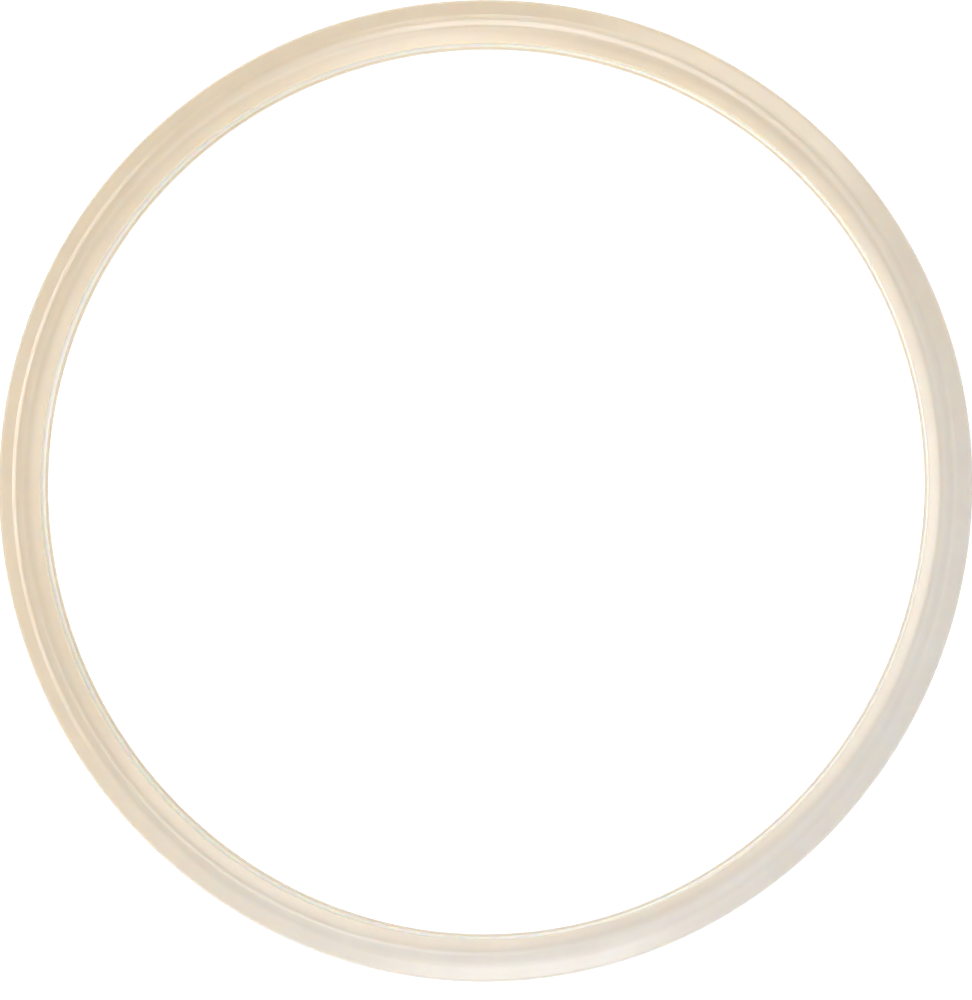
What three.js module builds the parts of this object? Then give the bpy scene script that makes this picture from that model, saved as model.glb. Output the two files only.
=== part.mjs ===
// Sealing ring of a stovetop pressure cooker: one endless moulding in translucent silicone rubber.
//
// The section is a C that opens towards the ring's axis. A thick heel stands against the lid's rolled rim,
// the upper lip seals on the lid and the lower lip seals on the pot's rim. Steam fills the pressure channel
// between the lips and pushes them apart. The ring lies on the flat land of its lower lip.
//
// Millimetres, +Z up along the ring's axis, origin at the ring's centre on the plane that it lies on.

import * as THREE from "three";

// Overall size
const outerDiameter = 240;
const sectionWidth = 11.5; // outer wall to the tip of the lower lip, along the radius
const sectionHeight = 8;

// Outer wall and its corners
const bevelWidth = 4.1; // sloping band between the outer wall and the top
const bevelDrop = 1.7;
const wallTopRadius = 1.2;
const bevelEdgeFlat = 1; // small flat that breaks the edge between the bevel and the top
const bevelEdgeRadius = 0.9;
const wallFootRadius = 1.8;

// Upper lip
const upperLandSetback = 1; // from the bevel's edge to the flat
const upperLandFall = 0.12; // the bevel's edge lies this much below the flat
const upperLandWidth = 2; // flat ring that meets the lid, with the start of its inner rounding
const upperBlendRadius = 4.5; // rounds the flat over into the lip's slope
const upperLipSetback = 1; // the upper lip is this much shorter than the lower one
const upperTipFall = 1.5; // from the flat down to the top of the tip
const upperTipThickness = 1.6;
const upperNoseRadius = 0.65;

// Lower lip
const lowerLandWidth = 5.5; // flat ring that meets the pot's rim, with the start of its inner rounding
const lowerBlendRadius = 9;
const lowerTipLift = 0.8; // underside of the tip above the plane that the ring lies on
const lowerTipThickness = 1.5;
const lowerNoseRadius = 0.6;

// Pressure channel between the lips
const heelThickness = 4.8; // outer wall to the channel's root
const channelRootGap = 2.4;
const channelRootRadius = 1.05;

// Facets
const ringSegments = 96;
const longestArcStep = THREE.MathUtils.degToRad(30); // turn between two points of a rounded corner
const fewestArcSteps = 2;

const siliconeRubber = new THREE.MeshStandardMaterial({
  name: "silicone_rubber",
  color: 0xeddfc3,
  roughness: 0.38,
  metalness: 0,
});

// The small flat that breaks the edge at the top of the bevel: two corners, each half the flat's width from
// the unbroken edge.
function bevelEdgeCorners(edge, top) {
  const bevelAngle = Math.atan2(bevelDrop, bevelWidth);
  const fallAngle = Math.atan2(upperLandFall, upperLandSetback);
  const half = bevelEdgeFlat / 2;
  return [
    { x: edge + half * Math.cos(bevelAngle), y: top - half * Math.sin(bevelAngle), radius: bevelEdgeRadius },
    { x: edge - half * Math.cos(fallAngle), y: top + half * Math.sin(fallAngle), radius: bevelEdgeRadius },
  ];
}

// Corners of the section with the radius that rounds each, from the foot of the outer wall up and over the
// upper lip, through the channel and round the lower lip. x is the distance from the axis and y the height.
function sectionCorners() {
  const wall = outerDiameter / 2;
  const bevelEdge = wall - bevelWidth;
  const upperLandOuter = bevelEdge - upperLandSetback;
  const upperLandInner = upperLandOuter - upperLandWidth;
  const lowerLandInner = wall - wallFootRadius - lowerLandWidth;
  const lowerTip = wall - sectionWidth;
  const upperTip = lowerTip + upperLipSetback;
  const channelRoot = wall - heelThickness;

  const bevelTop = sectionHeight - upperLandFall;
  const upperTipTop = sectionHeight - upperTipFall;
  const upperTipUnder = upperTipTop - upperTipThickness;
  const lowerTipTop = lowerTipLift + lowerTipThickness;
  const channelMiddle = (upperTipUnder + lowerTipTop) / 2;

  return [
    { x: wall, y: 0, radius: wallFootRadius },
    { x: wall, y: bevelTop - bevelDrop, radius: wallTopRadius },
    ...bevelEdgeCorners(bevelEdge, bevelTop),
    { x: upperLandOuter, y: sectionHeight, radius: 0 },
    { x: upperLandInner, y: sectionHeight, radius: upperBlendRadius },
    { x: upperTip, y: upperTipTop, radius: upperNoseRadius },
    { x: upperTip, y: upperTipUnder, radius: upperNoseRadius },
    { x: channelRoot, y: channelMiddle + channelRootGap / 2, radius: channelRootRadius },
    { x: channelRoot, y: channelMiddle - channelRootGap / 2, radius: channelRootRadius },
    { x: lowerTip, y: lowerTipTop, radius: lowerNoseRadius },
    { x: lowerTip, y: lowerTipLift, radius: lowerNoseRadius },
    { x: lowerLandInner, y: 0, radius: lowerBlendRadius },
  ];
}

// Points of the arc that rounds one corner, or the corner itself where its radius is 0. The arc takes at
// most half of each of its two edges, so that it never runs into its neighbour's.
function roundedCorner(before, corner, after) {
  const at = new THREE.Vector2(corner.x, corner.y);
  if (corner.radius === 0) return [at];
  const back = new THREE.Vector2(before.x, before.y).sub(at);
  const ahead = new THREE.Vector2(after.x, after.y).sub(at);
  const room = Math.min(back.length(), ahead.length()) / 2;
  back.normalize();
  ahead.normalize();

  const turn = Math.PI - Math.acos(back.dot(ahead));
  const radius = Math.min(corner.radius, room / Math.tan(turn / 2));
  const trim = radius * Math.tan(turn / 2);
  const start = back.clone().multiplyScalar(trim).add(at);
  const centre = back.clone().add(ahead).setLength(radius / Math.cos(turn / 2)).add(at);

  // Going up the outer wall and over the top turns to the left, and into the channel's root to the right.
  const sweep = -Math.sign(back.cross(ahead)) * turn;
  const steps = Math.max(fewestArcSteps, Math.ceil(turn / longestArcStep));
  return Array.from({ length: steps + 1 }, (_, i) =>
    start.clone().rotateAround(centre, (sweep * i) / steps),
  );
}

// The whole outline of the section, which ends on the point where it starts.
function sectionOutline() {
  const corners = sectionCorners();
  const count = corners.length;
  const outline = corners.flatMap((corner, i) =>
    roundedCorner(corners[(i + count - 1) % count], corner, corners[(i + 1) % count]),
  );
  outline.push(outline[0].clone());
  return outline;
}

function makeSealingRing() {
  const geometry = new THREE.LatheGeometry(sectionOutline(), ringSegments);
  geometry.rotateX(Math.PI / 2); // the lathe turns about Y, the ring about Z
  const mesh = new THREE.Mesh(geometry, siliconeRubber);
  mesh.name = "sealing_ring";
  return mesh;
}

const pressureCookerSeal = new THREE.Group();
pressureCookerSeal.name = "pressure_cooker_seal";
pressureCookerSeal.add(makeSealingRing());

export default pressureCookerSeal;
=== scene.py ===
"""A translucent silicone sealing ring for a pressure cooker's lid, on a white table in soft studio light.

Lengths are in metres and the frame is the CAD model's: +Z up along the ring's axis, the origin at the
ring's centre on the plane that it lies on. Sizes of the section are fields in millimetres.
"""

import logging
import math
from dataclasses import dataclass
from enum import Enum

import bmesh
import bpy
from mathutils import Matrix, Vector


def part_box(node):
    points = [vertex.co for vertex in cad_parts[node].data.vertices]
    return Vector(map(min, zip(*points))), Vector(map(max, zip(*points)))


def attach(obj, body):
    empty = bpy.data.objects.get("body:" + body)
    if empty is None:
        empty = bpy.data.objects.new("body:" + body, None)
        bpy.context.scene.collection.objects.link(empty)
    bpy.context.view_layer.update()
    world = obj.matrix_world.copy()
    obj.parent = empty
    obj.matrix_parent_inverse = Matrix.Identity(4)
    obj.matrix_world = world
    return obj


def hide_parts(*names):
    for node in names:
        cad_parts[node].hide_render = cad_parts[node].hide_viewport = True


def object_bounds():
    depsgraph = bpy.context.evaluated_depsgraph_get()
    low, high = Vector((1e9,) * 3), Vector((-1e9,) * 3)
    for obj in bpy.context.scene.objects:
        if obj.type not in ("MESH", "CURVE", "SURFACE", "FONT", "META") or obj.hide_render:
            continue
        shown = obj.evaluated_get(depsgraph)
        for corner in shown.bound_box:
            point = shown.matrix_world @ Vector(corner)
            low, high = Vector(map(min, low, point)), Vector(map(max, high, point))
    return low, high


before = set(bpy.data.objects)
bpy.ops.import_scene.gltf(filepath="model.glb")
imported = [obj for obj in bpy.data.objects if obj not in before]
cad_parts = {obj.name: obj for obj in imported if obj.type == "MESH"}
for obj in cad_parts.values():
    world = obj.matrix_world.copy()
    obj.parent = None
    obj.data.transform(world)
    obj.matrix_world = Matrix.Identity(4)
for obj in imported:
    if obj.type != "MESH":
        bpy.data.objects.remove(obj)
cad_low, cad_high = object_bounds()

log = logging.getLogger("sealing_ring")

MM = 0.001
INWARD = "inward"  # attribute: distance from the outer wall as a share of the section's width
WHITE = (1.0, 1.0, 1.0)
Colour = tuple[float, float, float]
Span = tuple[float, float]  # where a smooth change starts and ends


class Maths(Enum):
    """Operations of a Math node."""

    ADD = "ADD"
    SUBTRACT = "SUBTRACT"
    MULTIPLY = "MULTIPLY"


class Blend(Enum):
    """Ways in which a Mix node joins two colours."""

    MIX = "MIX"
    MULTIPLY = "MULTIPLY"


class Value:
    """A number that varies over a surface: a shader socket with Python's arithmetic on it."""

    def __init__(self, shader: "Shader", socket: bpy.types.NodeSocket) -> None:
        """Wraps one output socket.

        Args:
            shader: The shader that the socket's node is in.
            socket: The output that carries the number.
        """
        self.shader = shader
        self.socket = socket

    def __add__(self, other: "Value | float") -> "Value":
        """Sum of this number and another."""
        return self.shader.maths(Maths.ADD, self, other)

    def __sub__(self, other: "Value | float") -> "Value":
        """This number less another."""
        return self.shader.maths(Maths.SUBTRACT, self, other)

    def __rsub__(self, other: float) -> "Value":
        """A plain number less this one."""
        return self.shader.maths(Maths.SUBTRACT, other, self)

    def __mul__(self, other: "Value | float") -> "Value":
        """Product of this number and another."""
        return self.shader.maths(Maths.MULTIPLY, self, other)

    __radd__ = __add__
    __rmul__ = __mul__


Input = Value | bpy.types.NodeSocket | float | tuple


class Shader:
    """A node tree with one method that makes any node, and short names for the ones used most."""

    def __init__(self, tree: bpy.types.NodeTree) -> None:
        """Starts from an empty tree.

        Args:
            tree: The node tree of a material or of the world.
        """
        tree.nodes.clear()
        self.tree = tree

    def node(self, kind: str, settings: dict | None = None, inputs: dict | None = None) -> bpy.types.Node:
        """Makes one node, sets it and feeds it.

        Args:
            kind: Blender's type name of the node.
            settings: Attributes of the node, such as its operation, which are set first.
            inputs: Values or links by the socket's name or index.

        Returns:
            The new node.
        """
        made = self.tree.nodes.new(kind)
        for name, setting in (settings or {}).items():
            setattr(made, name, setting)
        for key, given in (inputs or {}).items():
            source = given.socket if isinstance(given, Value) else given
            if isinstance(source, bpy.types.NodeSocket):
                self.tree.links.new(source, made.inputs[key])
            else:
                made.inputs[key].default_value = source
        return made

    def maths(self, operation: Maths, first: Input, second: Input) -> Value:
        """Adds one Math node.

        Args:
            operation: What the node does.
            first: Its first number.
            second: Its second number.

        Returns:
            The result.
        """
        settings = {"operation": operation.value}
        return Value(self, self.node("ShaderNodeMath", settings, {0: first, 1: second}).outputs[0])

    def mix(
        self, share: Input, first: Input, second: Input, blend: Blend = Blend.MIX
    ) -> bpy.types.NodeSocket:
        """Mixes two colours.

        Args:
            share: How much of the second one, from 0 to 1.
            first: A colour, with its alpha if it is given as numbers.
            second: The colour that is mixed in.
            blend: How the two are joined.

        Returns:
            The mixed colour's socket.
        """
        settings = {"data_type": "RGBA", "blend_type": blend.value}
        # A Mix node's factor is input 0, and its two colours are inputs 6 and 7.
        made = self.node("ShaderNodeMix", settings, {0: share, 6: first, 7: second})
        return made.outputs[2]

    def ramp(
        self, number: Value, low: float, high: float, to_low: float = 0.0, to_high: float = 1.0
    ) -> Value:
        """Maps a range smoothly onto another and holds the number at its ends.

        Args:
            number: What is mapped.
            low: Where the range starts.
            high: Where the range ends.
            to_low: The result at and below the start.
            to_high: The result at and above the end.

        Returns:
            The mapped number.
        """
        settings = {"interpolation_type": "SMOOTHSTEP"}
        inputs = {0: number, 1: low, 2: high, 3: to_low, 4: to_high}
        return Value(self, self.node("ShaderNodeMapRange", settings, inputs).outputs[0])

    def noise(self, place: Input, size: float, detail: float = 2.0, w: Input | None = None) -> Value:
        """Adds a noise pattern.

        Args:
            place: The point at which the noise is read.
            size: Size of its features, in the units of the point.
            detail: Number of finer layers.
            w: A fourth coordinate, where the pattern has one.

        Returns:
            The noise, near 0.5 on the whole.
        """
        settings = {"noise_dimensions": "3D" if w is None else "4D"}
        inputs = {"Vector": place, "Scale": 1 / size, "Detail": detail}
        if w is not None:
            inputs["W"] = w
        return Value(self, self.node("ShaderNodeTexNoise", settings, inputs).outputs[0])


def opaque(colour: Colour) -> tuple[float, float, float, float]:
    """The colour with an alpha of 1, as a colour socket takes it."""
    return (*colour, 1.0)


@dataclass(frozen=True)
class MouldedSilicone:
    """Translucent ivory silicone rubber with the satin skin that a turned steel mould leaves.

    Spans are in shares of the section's width from the outer wall, unless they say otherwise.

    Attributes:
        heel_colour: Colour of the thick heel.
        lip_colour: Colour of the thin lips.
        thinning: Where the heel's colour turns into the lips'.
        painted_sheen_colour: Paler, greyer colour painted on one side of the ring as a painted sheen from
            the lights there.
        painted_sheen_towards: Direction, along X and Y, in which the painted sheen grows.
        painted_sheen_spread: Places along that direction, in metres, where it starts and is full.
        painted_sheen_turn: Where the painted sheen drops from its share on the heel to its share on the
            lips.
        painted_sheen_on_heel: Its share on the heel.
        painted_sheen_on_lips: Its share on the lips.
        painted_sheen_patchiness: How much the clouds change it.
        mouth_painted_light_colour: Pale colour painted in the channel's mouth as painted light that lifts
            the shade under the upper lip.
        mouth_roof: Heights, in metres, between which the painted light ends under the upper lip.
        mouth_start: Where the painted light starts.
        mouth_end: Where it ends.
        crown_rise: Where the painted shade on the crown starts.
        crown_fall: Where it ends.
        crown_painted_shade: How much darker the painted shade makes the crown.
        rim: Where the painted shade on the rim of the lower lip starts.
        rim_painted_shade: How much darker the painted shade makes the rim.
        cloud_size: Size of the faint clouds in the colour, in metres.
        cloud_range: Values of the cloud pattern between which the rubber goes from darker to plain.
        cloud_shade: Brightness of the darkest cloud.
        roughness: Roughness of the bare skin.
        sheen_side_roughness: What it gains on the side with the painted sheen.
        mark_roughness: How much the mould's marks change it.
        mark_spacing: Distance between the mould's marks, in metres.
        marked_width: Width of the section that the marks are spaced over, in metres.
        marks_per_metre: How quickly the marks change along X and Y.
        mark_height: Height of the mould's marks, in millimetres.
        grain_size: Size of the fine grain, in metres.
        grain_height: Height of the grain, in millimetres.
        wave_size: Size of the soft waves, in metres.
        wave_height: Height of the waves, in millimetres.
        refraction: Index of refraction.
        scatter_depth: How far light goes in the rubber, in metres.
        scatter_ratio: Share of that depth for red, green and blue.
    """

    heel_colour: Colour = (0.71, 0.615, 0.475)
    lip_colour: Colour = (0.72, 0.635, 0.505)
    thinning: Span = (0.50, 0.85)
    painted_sheen_colour: Colour = (0.69, 0.672, 0.645)
    painted_sheen_towards: tuple[float, float] = (0.64, -0.77)
    painted_sheen_spread: Span = (-65 * MM, 115 * MM)
    painted_sheen_turn: Span = (0.5, 0.75)
    painted_sheen_on_heel: float = 0.8
    painted_sheen_on_lips: float = 0.5
    painted_sheen_patchiness: float = 0.2
    mouth_painted_light_colour: Colour = (0.96, 0.93, 0.88)
    mouth_roof: Span = (5.3 * MM, 6.1 * MM)
    mouth_start: Span = (0.75, 0.88)
    mouth_end: Span = (0.93, 0.965)
    crown_rise: Span = (0.28, 0.48)
    crown_fall: Span = (0.58, 0.82)
    crown_painted_shade: float = 0.10
    rim: Span = (0.95, 0.98)
    rim_painted_shade: float = 0.12
    cloud_size: float = 9 * MM
    cloud_range: Span = (0.3, 0.7)
    cloud_shade: float = 0.975
    roughness: float = 0.20
    sheen_side_roughness: float = 0.08
    mark_roughness: float = 0.06
    mark_spacing: float = 0.35 * MM
    marked_width: float = 11 * MM
    marks_per_metre: float = 18.0
    mark_height: float = 0.004
    grain_size: float = 0.25 * MM
    grain_height: float = 0.0015
    wave_size: float = 7 * MM
    wave_height: float = 0.025
    refraction: float = 1.45
    scatter_depth: float = 3 * MM
    scatter_ratio: Colour = (1.0, 0.72, 0.45)

    def build(self, name: str) -> bpy.types.Material:
        """Makes the material.

        Args:
            name: Its name.

        Returns:
            The material, which reads object coordinates and the ring's "inward" attribute.
        """
        material = bpy.data.materials.new(name)
        material.use_nodes = True
        shader = Shader(material.node_tree)
        place = shader.node("ShaderNodeTexCoord").outputs["Object"]
        attribute = shader.node("ShaderNodeAttribute", {"attribute_name": INWARD})
        inward = Value(shader, attribute.outputs["Fac"])

        painted_sheen = self._painted_sheen(shader, place, inward)
        streaks = self._mould_marks(shader, place, inward)
        cloud = shader.noise(place, self.cloud_size, detail=3)
        # crown: painted shade, a darker band across the middle of the section
        crown = shader.ramp(inward, *self.crown_rise) * shader.ramp(inward, *self.crown_fall, 1.0, 0.0)
        thin = shader.ramp(inward, *self.thinning)
        patches = cloud * self.painted_sheen_patchiness + (1 - self.painted_sheen_patchiness / 2)
        colour = shader.mix(thin, opaque(self.heel_colour), opaque(self.lip_colour))
        # Painted sheen: a paler, greyer colour over one side of the ring, standing in for the lights'
        # sheen there
        colour = shader.mix(painted_sheen * patches, colour, opaque(self.painted_sheen_colour))
        # rim: painted shade on the lower lip's rim, which lies under the upper lip
        rim = shader.ramp(inward, *self.rim)
        shade = shader.ramp(cloud, *self.cloud_range, self.cloud_shade, 1.0)
        shade = shade * (1.0 - crown * self.crown_painted_shade - rim * self.rim_painted_shade)
        grey = shader.node("ShaderNodeCombineColor", None, {0: shade, 1: shade, 2: shade}).outputs[0]
        colour = shader.mix(1.0, colour, grey, Blend.MULTIPLY)
        # Painted light: a pale colour in the channel's mouth that lifts the shade under the upper lip
        colour = shader.mix(self._mouth_painted_light(shader, place, inward), colour, opaque(self.mouth_painted_light_colour))
        plain = self.roughness - self.mark_roughness / 2
        roughness = painted_sheen * self.sheen_side_roughness + streaks * self.mark_roughness + plain

        surface = shader.node(
            "ShaderNodeBsdfPrincipled",
            {"subsurface_method": "RANDOM_WALK"},
            {
                "Base Color": colour,
                "Roughness": roughness,
                "Normal": self._relief(shader, place, streaks),
                "IOR": self.refraction,
                "Subsurface Weight": 1.0,
                "Subsurface Radius": self.scatter_ratio,
                "Subsurface Scale": self.scatter_depth,
            },
        )
        shader.node("ShaderNodeOutputMaterial", None, {"Surface": surface.outputs[0]})
        return material

    def _painted_sheen(self, shader: Shader, place: bpy.types.NodeSocket, inward: Value) -> Value:
        """Share of the paler, greyer colour painted on one side of the ring as a painted sheen from the
        lights there.

        Args:
            shader: The shader to work in.
            place: Object coordinates.
            inward: Distance from the outer wall as a share of the section's width.

        Returns:
            A number from 0 to about 0.8.
        """
        axes = shader.node("ShaderNodeSeparateXYZ", None, {0: place}).outputs
        along_x, along_y = self.painted_sheen_towards
        towards = Value(shader, axes["X"]) * along_x + Value(shader, axes["Y"]) * along_y
        spread = shader.ramp(towards, *self.painted_sheen_spread)
        return spread * shader.ramp(inward, *self.painted_sheen_turn, self.painted_sheen_on_heel, self.painted_sheen_on_lips)

    def _mouth_painted_light(self, shader: Shader, place: bpy.types.NodeSocket, inward: Value) -> Value:
        """Share of pale colour painted in the mouth of the channel, under the upper lip, as painted light
        that lifts its shade.

        Args:
            shader: The shader to work in.
            place: Object coordinates.
            inward: Distance from the outer wall as a share of the section's width.

        Returns:
            A number from 0 to 1.
        """
        height = Value(shader, shader.node("ShaderNodeSeparateXYZ", None, {0: place}).outputs["Z"])
        under = shader.ramp(height, *self.mouth_roof, 1.0, 0.0)
        started = shader.ramp(inward, *self.mouth_start)
        return under * started * shader.ramp(inward, *self.mouth_end, 1.0, 0.0)

    def _mould_marks(self, shader: Shader, place: bpy.types.NodeSocket, inward: Value) -> Value:
        """Fine marks round the ring from the turned faces of the mould.

        Args:
            shader: The shader to work in.
            place: Object coordinates.
            inward: Distance from the outer wall as a share of the section's width.

        Returns:
            A number near 0.5 that changes quickly across the section and slowly round the ring.
        """
        axes = shader.node("ShaderNodeSeparateXYZ", None, {0: place}).outputs
        across = inward * (self.marked_width / self.mark_spacing)
        along_x = Value(shader, axes["X"]) * self.marks_per_metre
        along_y = Value(shader, axes["Y"]) * self.marks_per_metre
        up = Value(shader, axes["Z"]) * (1 / self.mark_spacing)
        slow = shader.node("ShaderNodeCombineXYZ", None, {0: along_x, 1: along_y, 2: up})
        return shader.noise(slow.outputs[0], 1.0, detail=2, w=across)

    def _relief(self, shader: Shader, place: bpy.types.NodeSocket, streaks: Value) -> bpy.types.NodeSocket:
        """Small relief of the skin: the mould's marks, a soft waviness and a fine grain.

        Args:
            shader: The shader to work in.
            place: Object coordinates.
            streaks: The marks round the ring.

        Returns:
            The normal's socket.
        """
        grain = shader.noise(place, self.grain_size, detail=1)
        waves = shader.noise(place, self.wave_size, detail=1)
        height = streaks * self.mark_height + grain * self.grain_height + waves * self.wave_height
        inputs = {"Strength": 1.0, "Distance": MM, "Height": height}
        return shader.node("ShaderNodeBump", None, inputs).outputs[0]


@dataclass(frozen=True)
class WhiteTable:
    """Seamless white table that glows a little, as a lit product table does."""

    colour: Colour = (0.3, 0.3, 0.3)
    glow: float = 0.8
    roughness: float = 0.9

    def build(self, name: str) -> bpy.types.Material:
        """Makes the material.

        Args:
            name: Its name.

        Returns:
            The material.
        """
        material = bpy.data.materials.new(name)
        material.use_nodes = True
        shader = Shader(material.node_tree)
        surface = shader.node(
            "ShaderNodeBsdfPrincipled",
            None,
            {
                "Base Color": opaque(self.colour),
                "Roughness": self.roughness,
                "Specular IOR Level": 0.0,
                "Emission Color": opaque(WHITE),
                "Emission Strength": self.glow,
            },
        )
        shader.node("ShaderNodeOutputMaterial", None, {"Surface": surface.outputs[0]})
        return material


@dataclass(frozen=True)
class Corner:
    """A corner of the ring's section, in millimetres.

    Attributes:
        inward: Distance from the outer wall towards the axis.
        height: Height above the plane that the ring lies on.
        radius: Radius that rounds the corner.
    """

    inward: float
    height: float
    radius: float


@dataclass
class SealingRing:
    """The ring: an endless C-section that opens inwards between two lips. Sizes are in millimetres."""

    body: str
    node: str
    section_width: float = 11.5

    # Outer wall, the bevel over it and the small flat that breaks the bevel's edge
    bevel_width: float = 4.1
    bevel_drop: float = 1.7
    wall_top_radius: float = 1.2
    bevel_edge_flat: float = 1.0
    bevel_edge_radius: float = 0.9
    wall_foot_radius: float = 1.8

    # Upper lip
    upper_land_setback: float = 1.0
    upper_land_fall: float = 0.12
    upper_land_width: float = 2.0
    upper_land_radius: float = 4.0
    upper_blend_radius: float = 4.5
    upper_lip_setback: float = 1.0
    upper_tip_fall: float = 1.5
    upper_tip_thickness: float = 1.6
    upper_nose_radius: float = 0.65

    # Lower lip
    lower_land_width: float = 5.5
    lower_blend_radius: float = 9.0
    lower_tip_lift: float = 0.8
    lower_tip_thickness: float = 1.5
    lower_nose_radius: float = 0.6

    # Pressure channel between the lips
    heel_thickness: float = 4.8
    channel_root_gap: float = 2.4
    channel_root_radius: float = 1.05

    # Parting line that the mould leaves round the outer wall
    seam_height: float = 3.6
    seam_proud: float = 0.06
    seam_half_width: float = 0.16
    seam_foot_radius: float = 0.05
    seam_crest_radius: float = 0.06

    # Facets
    corner_segments: int = 8
    longest_edge: float = 0.5
    turns: int = 320

    # How far the soft ring lies out of round, and the directions in degrees from +X towards +Y
    oval: float = 0.28
    oval_towards: float = 80.0
    three_lobed: float = 0.4
    lobe_towards: float = 30.0
    lip_give: float = 0.22
    give_towards: float = 95.0

    def corners(self, height: float) -> list[Corner]:
        """Corners of the section, from the foot of the outer wall up and over the upper lip.

        Args:
            height: The section's full height in millimetres.

        Returns:
            The corners in order round the section.
        """
        land_outer = self.bevel_width + self.upper_land_setback
        bevel_top = height - self.upper_land_fall
        upper_tip = self.section_width - self.upper_lip_setback
        upper_tip_top = height - self.upper_tip_fall
        upper_tip_under = upper_tip_top - self.upper_tip_thickness
        lower_tip_top = self.lower_tip_lift + self.lower_tip_thickness
        channel_middle = (upper_tip_under + lower_tip_top) / 2
        half_gap = self.channel_root_gap / 2
        seam = self.seam_height
        return [
            Corner(0.0, 0.0, self.wall_foot_radius),
            Corner(0.0, seam - self.seam_half_width, self.seam_foot_radius),
            Corner(-self.seam_proud, seam, self.seam_crest_radius),
            Corner(0.0, seam + self.seam_half_width, self.seam_foot_radius),
            Corner(0.0, bevel_top - self.bevel_drop, self.wall_top_radius),
            *self._bevel_edge(bevel_top),
            Corner(land_outer, height, self.upper_land_radius),
            Corner(land_outer + self.upper_land_width, height, self.upper_blend_radius),
            Corner(upper_tip, upper_tip_top, self.upper_nose_radius),
            Corner(upper_tip, upper_tip_under, self.upper_nose_radius),
            Corner(self.heel_thickness, channel_middle + half_gap, self.channel_root_radius),
            Corner(self.heel_thickness, channel_middle - half_gap, self.channel_root_radius),
            Corner(self.section_width, lower_tip_top, self.lower_nose_radius),
            Corner(self.section_width, self.lower_tip_lift, self.lower_nose_radius),
            Corner(self.wall_foot_radius + self.lower_land_width, 0.0, self.lower_blend_radius),
        ]

    def _bevel_edge(self, top: float) -> list[Corner]:
        """The two corners of the small flat that breaks the edge between the bevel and the top.

        Args:
            top: Height of the unbroken edge.

        Returns:
            The corners, each half the flat's width from the unbroken edge.
        """
        bevel = math.atan2(self.bevel_drop, self.bevel_width)
        fall = math.atan2(self.upper_land_fall, self.upper_land_setback)
        half, edge, radius = self.bevel_edge_flat / 2, self.bevel_width, self.bevel_edge_radius
        return [
            Corner(edge - half * math.cos(bevel), top - half * math.sin(bevel), radius),
            Corner(edge + half * math.cos(fall), top + half * math.sin(fall), radius),
        ]

    def build(self) -> bpy.types.Object:
        """Models the ring where the CAD node is.

        Returns:
            The ring's object.
        """
        low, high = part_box(self.node)
        wall = (high.x - low.x) / 2
        middle = (low + high) / 2
        shape = bmesh.new()
        layer = shape.verts.layers.float.new(INWARD)
        corners = self.corners((high.z - low.z) / MM)
        starts = [Vector((wall - c.inward * MM, 0.0, low.z + c.height * MM)) for c in corners]
        verts = [shape.verts.new(start) for start in starts]
        shape.faces.new(verts)
        self._round(shape, verts, starts, [c.radius * MM for c in corners])
        self._divide(shape)
        for vert in shape.verts:
            vert[layer] = (wall - vert.co.x) / (self.section_width * MM)
        self._turn(shape)
        self._relax(shape, layer)
        bmesh.ops.translate(shape, verts=shape.verts, vec=(middle.x, middle.y, 0.0))

        mesh = bpy.data.meshes.new("silicone_ring")
        shape.to_mesh(mesh)
        shape.free()
        mesh.shade_smooth()
        ring = bpy.data.objects.new("silicone_ring", mesh)
        bpy.context.scene.collection.objects.link(ring)
        return ring

    def _round(
        self, shape: bmesh.types.BMesh, verts: list, starts: list[Vector], radii: list[float]
    ) -> None:
        """Rounds each corner of the section by its radius.

        Args:
            shape: The mesh, which holds the section's face.
            verts: The corners' vertices in order.
            starts: Their places before any is rounded.
            radii: The radius of each, in metres.
        """
        count = len(verts)
        for i, vert in enumerate(verts):
            back = (starts[i - 1] - starts[i]).normalized()
            ahead = (starts[(i + 1) % count] - starts[i]).normalized()
            turn = math.pi - back.angle(ahead)
            bmesh.ops.bevel(
                shape,
                geom=[vert],
                offset=radii[i] * math.tan(turn / 2),
                offset_type="OFFSET",
                affect="VERTICES",
                segments=self.corner_segments,
                profile=0.5,
                material=-1,
            )

    def _divide(self, shape: bmesh.types.BMesh) -> None:
        """Divides the section's long straights, so that shading stays even on them.

        Args:
            shape: The mesh, which holds the section's face.
        """
        for edge in list(shape.edges):
            cuts = math.ceil(edge.calc_length() / (self.longest_edge * MM)) - 1
            if cuts > 0:
                bmesh.ops.subdivide_edges(shape, edges=[edge], cuts=cuts)

    def _turn(self, shape: bmesh.types.BMesh) -> None:
        """Turns the section's outline once round the axis into a closed skin.

        Args:
            shape: The mesh, which holds the section's face and then the ring.
        """
        bmesh.ops.delete(shape, geom=list(shape.faces), context="FACES_ONLY")
        bmesh.ops.spin(
            shape,
            geom=list(shape.verts) + list(shape.edges),
            cent=(0, 0, 0),
            axis=(0, 0, 1),
            angle=math.tau,
            steps=self.turns,
            use_merge=True,
        )
        bmesh.ops.recalc_face_normals(shape, faces=shape.faces)

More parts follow.
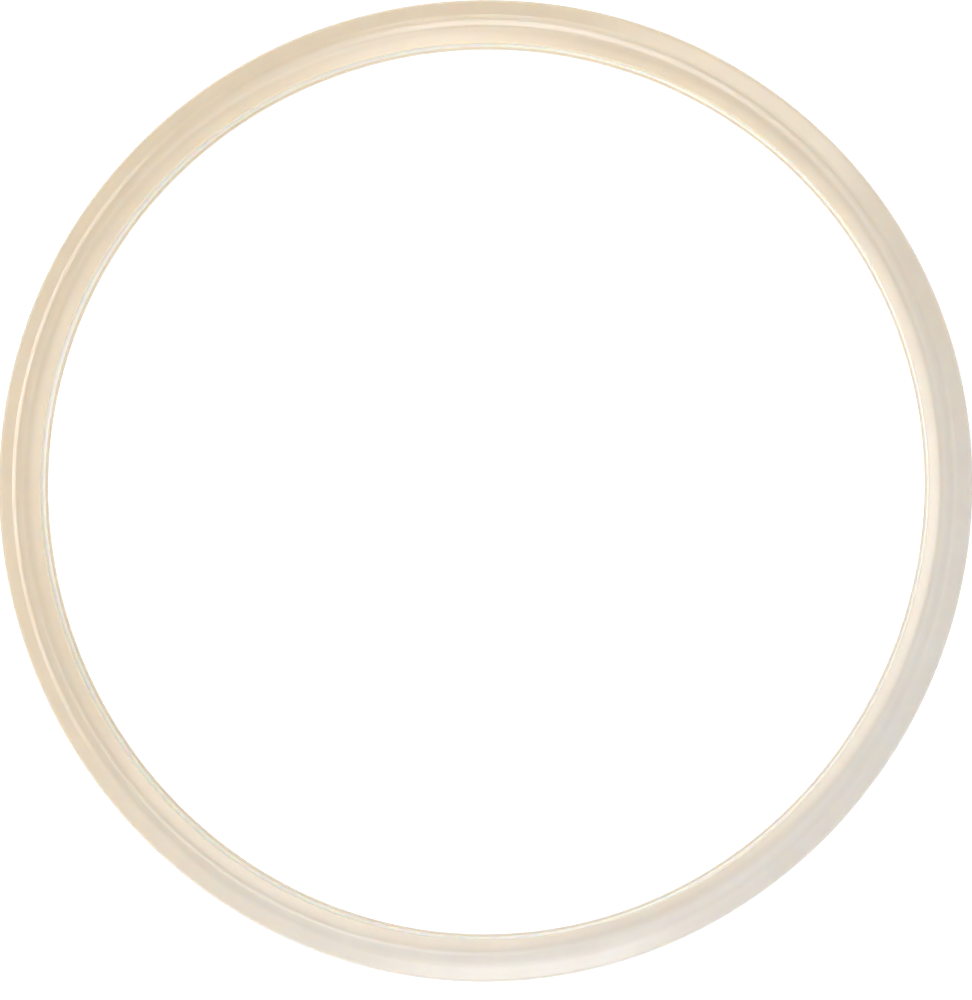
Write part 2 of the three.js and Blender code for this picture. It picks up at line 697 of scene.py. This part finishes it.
    def _relax(self, shape: bmesh.types.BMesh, layer: bmesh.types.BMLayerItem) -> None:
        """Lets the soft ring lie a little out of round, as it does when nothing holds it.

        Args:
            shape: The mesh of the ring about its own axis.
            layer: Distance from the outer wall as a share of the section's width.
        """
        for vert in shape.verts:
            around = math.atan2(vert.co.y, vert.co.x)
            out = self.oval * math.cos(2 * (around - math.radians(self.oval_towards)))
            out += self.three_lobed * math.cos(3 * (around - math.radians(self.lobe_towards)))
            out -= self.lip_give * math.cos(around - math.radians(self.give_towards)) * vert[layer]
            vert.co += Vector((math.cos(around), math.sin(around), 0.0)) * (out * MM)

    def dress(self, ring: bpy.types.Object, finish: MouldedSilicone, slot: str) -> None:
        """Gives the ring its material and ties it to the CAD model.

        Args:
            ring: The ring's object.
            finish: The finish of its rubber.
            slot: The record's material slot.
        """
        ring.data.materials.append(finish.build(slot))
        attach(ring, self.body)
        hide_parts(self.node)


@dataclass(frozen=True)
class Softbox:
    """A rectangular light that faces the ring.

    Attributes:
        name: Its name.
        around: Direction it stands in, in degrees from +X towards +Y.
        from_zenith: Angle between straight up and the light, in degrees.
        distance: Distance from the ring's centre.
        across: Size along the horizon.
        tall: Size up and down.
        brightness: Radiance of its face.
    """

    name: str
    around: float
    from_zenith: float
    distance: float
    across: float
    tall: float
    brightness: float

    def build(self, centre: Vector) -> bpy.types.Object:
        """Makes the light.

        Args:
            centre: The point that it faces.

        Returns:
            The light's object.
        """
        data = bpy.data.lights.new(self.name, "AREA")
        data.shape = "RECTANGLE"
        data.size, data.size_y = self.across, self.tall
        data.energy = self.brightness * math.pi * self.across * self.tall
        light = bpy.data.objects.new(self.name, data)
        back = direction(self.around, self.from_zenith)
        light.matrix_world = facing(centre + back * self.distance, back, Vector((0, 0, 1)))
        bpy.context.scene.collection.objects.link(light)
        return light


def direction(around: float, from_zenith: float) -> Vector:
    """Unit vector towards a place in the sky.

    Args:
        around: Degrees from +X towards +Y.
        from_zenith: Degrees from straight up.

    Returns:
        The vector.
    """
    turn, tilt = math.radians(around), math.radians(from_zenith)
    return Vector((math.cos(turn) * math.sin(tilt), math.sin(turn) * math.sin(tilt), math.cos(tilt)))


def facing(place: Vector, back: Vector, up: Vector) -> Matrix:
    """Matrix of a camera or light.

    Args:
        place: Where it stands.
        back: Unit vector from what it faces towards it.
        up: What its own up direction stays nearest to.

    Returns:
        The matrix.
    """
    right = up.cross(back).normalized()
    over = back.cross(right)
    return Matrix.Translation(place) @ Matrix((right, over, back)).transposed().to_4x4()


@dataclass
class Studio:
    """White table, soft lights, pale surroundings and the camera. Lengths are in metres."""

    centre: Vector
    radius: float
    table_size: float = 8.0
    table_gap: float = 0.05 * MM
    camera_around: float = -10.0
    camera_from_zenith: float = 5.5
    camera_distance: float = 1.2
    aim_offset: tuple[float, float] = (1.1 * MM, -2.8 * MM)
    ring_share: float = 0.9785
    sensor: float = 36.0
    sky_at_horizon: float = 0.9
    sky_at_zenith: float = 0.02
    sky_change: Span = (0.1, 0.35)  # heights on the unit sphere

    def softboxes(self) -> list[Softbox]:
        """The lights: narrow strips to the left and the back, and panels to the front, right and back."""
        # name, around, from_zenith, distance, across, tall, brightness
        return [
            Softbox("strip_left", 174, 45.5, 1.2, 0.34, 0.06, 25.0),
            Softbox("strip_back_left", 152, 45.5, 1.2, 0.34, 0.06, 17.0),
            Softbox("strip_front_left", 196, 45.5, 1.2, 0.34, 0.06, 16.0),
            Softbox("strip_back", 97, 41.5, 1.2, 0.40, 0.06, 11.0),
            Softbox("left_near", 179, 12, 1.3, 0.12, 0.20, 4.5),
            Softbox("right_mid", 350, 34, 1.3, 0.60, 0.14, 3.5),
            Softbox("front_near", 256, 11, 1.3, 0.16, 0.26, 11.5),
            Softbox("front_mid", 268, 30, 1.3, 0.34, 0.50, 4.6),
            Softbox("front_low", 270, 52, 1.3, 0.64, 0.45, 6.5),
            Softbox("front_left", 225, 45, 1.3, 0.60, 0.40, 0.8),
            Softbox("back_near", 108, 12, 1.3, 0.18, 0.30, 14.5),
            Softbox("back_strip", 95, 25, 1.3, 0.45, 0.12, 5.0),
            Softbox("back_low", 62, 46, 1.3, 0.66, 0.55, 4.6),
        ]

    def build(self) -> None:
        """Makes the table, the lights, the surroundings and the camera."""
        self._table()
        for softbox in self.softboxes():
            softbox.build(self.centre)
        self._surroundings()
        self._camera()
        bpy.context.scene.view_settings.view_transform = "Standard"

    def _table(self) -> None:
        """Makes the white table, just under the ring."""
        shape = bmesh.new()
        bmesh.ops.create_grid(shape, x_segments=1, y_segments=1, size=self.table_size / 2)
        bmesh.ops.translate(shape, verts=shape.verts, vec=(0, 0, cad_low.z - self.table_gap))
        mesh = bpy.data.meshes.new("table")
        shape.to_mesh(mesh)
        shape.free()
        table = bpy.data.objects.new("table", mesh)
        mesh.materials.append(WhiteTable().build("white_table"))
        bpy.context.scene.collection.objects.link(table)

    def _surroundings(self) -> None:
        """Makes pale surroundings that are brighter near the horizon than overhead."""
        world = bpy.data.worlds.new("light_tent")
        world.use_nodes = True
        bpy.context.scene.world = world
        shader = Shader(world.node_tree)
        sky = shader.node("ShaderNodeTexCoord").outputs["Generated"]
        up = Value(shader, shader.node("ShaderNodeSeparateXYZ", None, {0: sky}).outputs["Z"])
        strength = shader.ramp(up, *self.sky_change, self.sky_at_horizon, self.sky_at_zenith)
        light = shader.node("ShaderNodeBackground", None, {"Color": opaque(WHITE), "Strength": strength})
        shader.node("ShaderNodeOutputWorld", None, {"Surface": light.outputs[0]})

    def _camera(self) -> None:
        """Makes the camera, nearly straight above the ring."""
        data = bpy.data.cameras.new("camera")
        data.sensor_width = self.sensor
        data.lens = self.sensor * self.ring_share * self.camera_distance / (2 * self.radius)
        camera = bpy.data.objects.new("camera", data)
        back = direction(self.camera_around, self.camera_from_zenith)
        target = self.centre + Vector((*self.aim_offset, 0))
        camera.matrix_world = facing(target + back * self.camera_distance, back, Vector((0, 1, 0)))
        bpy.context.scene.collection.objects.link(camera)
        bpy.context.scene.camera = camera


def main() -> None:
    """Builds the ring and its studio."""
    logging.basicConfig(level=logging.INFO, format="%(name)s: %(message)s")
    maker = SealingRing(body="root", node="sealing_ring")
    ring = maker.build()
    maker.dress(ring, MouldedSilicone(), "silicone_rubber")
    log.info("%s: %d faces", ring.name, len(ring.data.polygons))

    centre = (cad_low + cad_high) / 2
    Studio(centre=centre, radius=cad_high.x - centre.x).build()
    log.info("studio: %d lights", len(bpy.data.lights))


if __name__ == "__main__":
    main()
